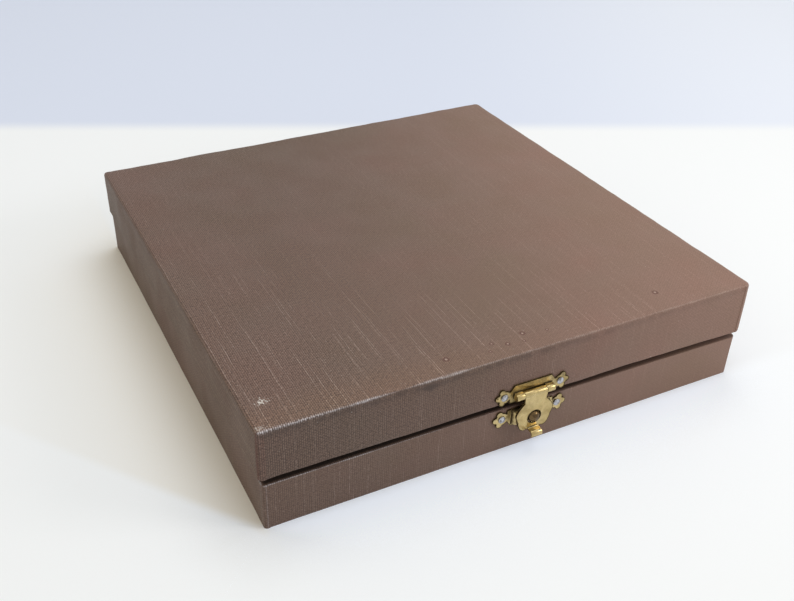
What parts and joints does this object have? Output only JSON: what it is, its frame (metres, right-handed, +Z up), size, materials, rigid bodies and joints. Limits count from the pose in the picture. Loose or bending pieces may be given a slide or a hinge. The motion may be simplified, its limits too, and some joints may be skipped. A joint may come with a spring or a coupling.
{
  "type": "collar box",
  "caption": "Flat square hinged box covered in brown book cloth, with a padded satin lining, a stamped brass hasp catch at the front and butt hinges at the back.",
  "frame": {"origin": "centre of the underside, midway between the lid's sides and its front and back", "axes": "+X to the right as seen from the catch, +Y to the hinges at the back, +Z up"},
  "size_m": [0.18, 0.1885, 0.0376],
  "materials": {
    "book_cloth": "linen-weave book cloth, slightly glazed, worn pale on the edges",
    "wood": "bare sawn softwood, hidden under the cloth",
    "paper": "matt brown paper",
    "satin": "aged ivory satin",
    "card": "grey pasteboard",
    "catch_brass": "stamped brass, aged, dark at the edges",
    "stud_brass": "dark tarnished brass",
    "nail_steel": "bright steel nails, a little worn",
    "hinge_brass": "aged brass"
  },
  "bodies": {
    "base": {"base_bottom_board": "wood", "base_front_wall": "wood", "base_back_wall": "wood", "base_left_wall": "wood", "base_right_wall": "wood", "base_cloth_wrap": "book_cloth", "underside_sheet": "paper", "base_floor_card": "card", "base_floor_pad": "satin", "base_front_lining": "satin", "base_back_lining": "satin", "base_left_lining": "satin", "base_right_lining": "satin", "strike_plate": "catch_brass", "strike_stud": "stud_brass", "strike_plate_nails": "nail_steel", "left_hinge_base_leaf": "hinge_brass", "right_hinge_base_leaf": "hinge_brass", "left_hinge_pin": "hinge_brass", "right_hinge_pin": "hinge_brass", "base_hinge_nails": "nail_steel"},
    "lid": {"lid_top_board": "wood", "lid_front_wall": "wood", "lid_back_wall": "wood", "lid_left_wall": "wood", "lid_right_wall": "wood", "lid_cloth_cover": "book_cloth", "lid_front_lining": "satin", "lid_back_lining": "satin", "lid_left_lining": "satin", "lid_right_lining": "satin", "lid_panel_card": "card", "lid_panel_pad": "satin", "catch_plate": "catch_brass", "catch_pin": "catch_brass", "catch_plate_nails": "nail_steel", "left_hinge_lid_leaf": "hinge_brass", "right_hinge_lid_leaf": "hinge_brass", "lid_hinge_nails": "nail_steel"},
    "hasp": {"hasp": "catch_brass"}
  },
  "joints": [
    {"name": "lid_hinge", "type": "hinge", "parent": "base", "child": "lid", "pos_m": [0, 0.0914, 0.01688], "axis": [-1, 0, 0], "range_deg": [0, 145]},
    {"name": "hasp_hinge", "type": "hinge", "parent": "lid", "child": "hasp", "pos_m": [0.0019, -0.09166, 0.0219], "axis": [-1, 0, 0], "range_deg": [0, 160]}
  ]
}
